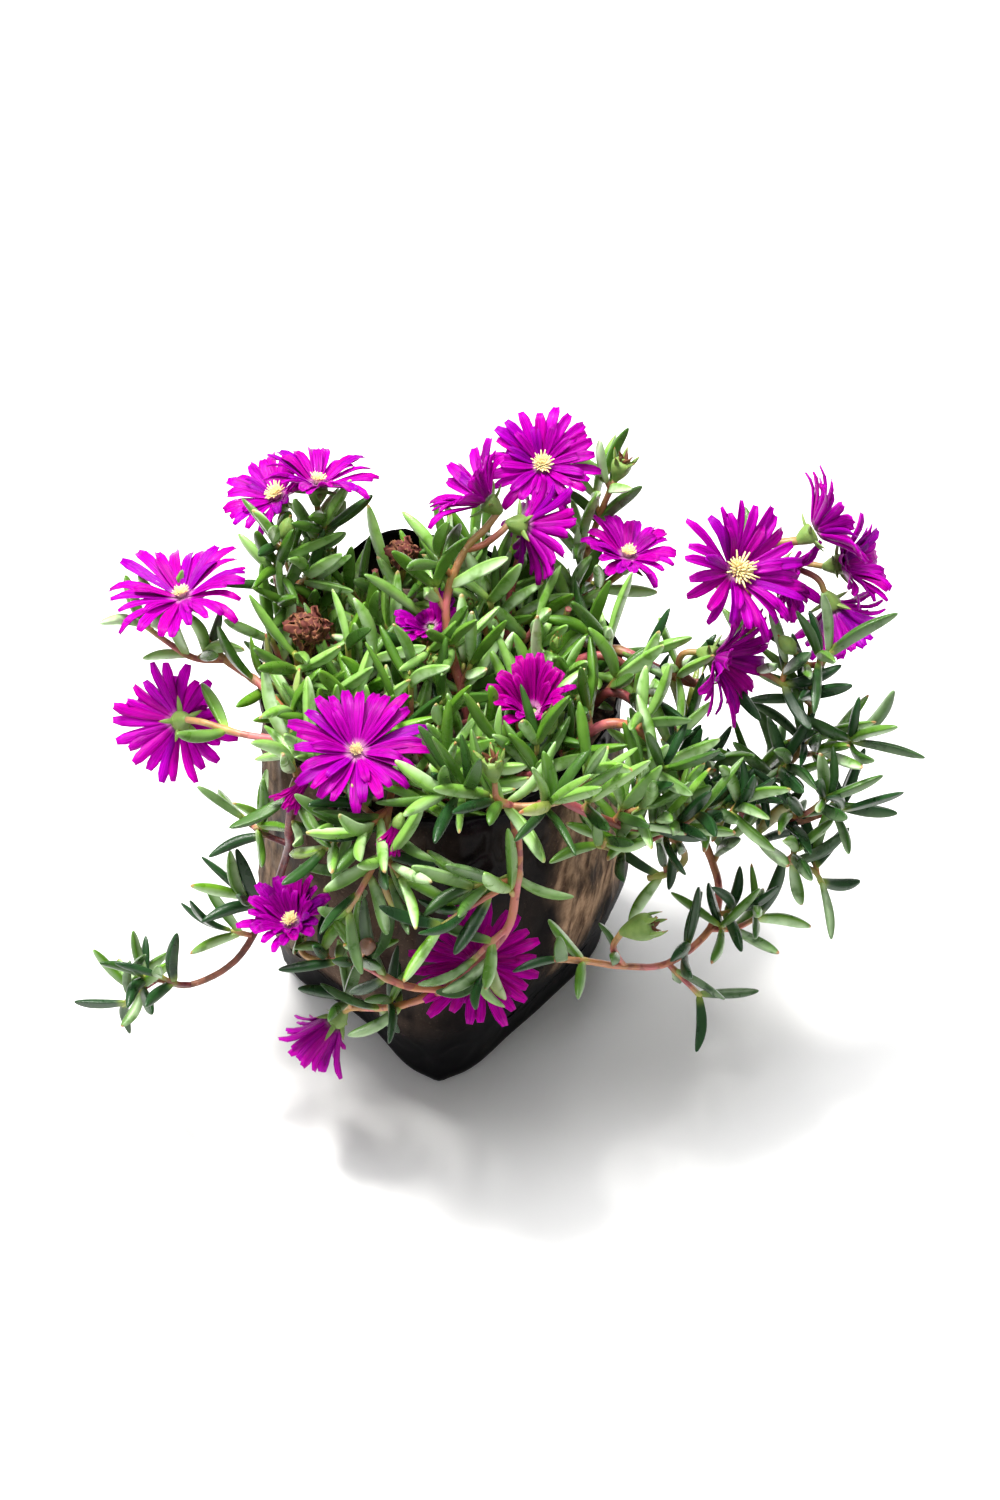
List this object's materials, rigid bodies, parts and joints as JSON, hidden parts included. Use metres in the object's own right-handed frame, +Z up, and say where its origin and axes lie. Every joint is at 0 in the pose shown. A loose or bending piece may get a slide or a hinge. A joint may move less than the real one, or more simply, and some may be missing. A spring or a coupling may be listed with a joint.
{
  "type": "potted ice plant",
  "caption": "Trailing ice plant with narrow fleshy leaves and many-petalled magenta daisy-like blooms, growing in and over a black film grow bag filled with soil.",
  "frame": {"origin": "middle of the bag's flat underside", "axes": "+Z up through the bag, -Y towards the viewer of the picture, +X to the viewer's right"},
  "size_m": [0.3485, 0.2085, 0.2733],
  "materials": {
    "bag_film": "thin black film, glossy, dusty on the upper wall",
    "soil": "loose dark potting soil",
    "leaf_stem": "fleshy green leaves with a fine waxy bloom, pink to brown stems",
    "petal": "satiny magenta petals",
    "stamen": "pale yellow stamens",
    "dried_head": "crumpled brown dried flower"
  },
  "bodies": {
    "root": {"dried_head_back": "dried_head", "dried_head_left": "dried_head", "grow_bag": "bag_film", "petals_01": "petal", "petals_02": "petal", "petals_03": "petal", "petals_04": "petal", "petals_05": "petal", "petals_06": "petal", "petals_07": "petal", "petals_08": "petal", "petals_09": "petal", "petals_10": "petal", "petals_11": "petal", "petals_12": "petal", "petals_13": "petal", "petals_14": "petal", "petals_15": "petal", "petals_16": "petal", "petals_17": "petal", "petals_18": "petal", "petals_19": "petal", "petals_20": "petal", "shoots_back": "leaf_stem", "shoots_front": "leaf_stem", "shoots_left": "leaf_stem", "shoots_left_back": "leaf_stem", "shoots_left_front": "leaf_stem", "shoots_middle": "leaf_stem", "shoots_right": "leaf_stem", "shoots_right_back": "leaf_stem", "soil": "soil", "stamens_01": "stamen", "stamens_03": "stamen", "stamens_04": "stamen", "stamens_05": "stamen", "stamens_06": "stamen", "stamens_07": "stamen", "stamens_08": "stamen", "stamens_09": "stamen", "stamens_10": "stamen", "stamens_11": "stamen", "stamens_12": "stamen", "stamens_13": "stamen", "stamens_14": "stamen", "stamens_15": "stamen", "stamens_16": "stamen", "stem_back": "leaf_stem", "stem_back_right": "leaf_stem", "stem_front": "leaf_stem", "stem_front_dark": "leaf_stem", "stem_front_left": "leaf_stem", "stem_left_back": "leaf_stem", "stem_left_lower": "leaf_stem", "stem_left_upper": "leaf_stem", "stem_right": "leaf_stem", "stem_right_front": "leaf_stem", "stem_right_low": "leaf_stem", "stem_right_outer": "leaf_stem", "stem_right_upper": "leaf_stem"}
  },
  "joints": []
}
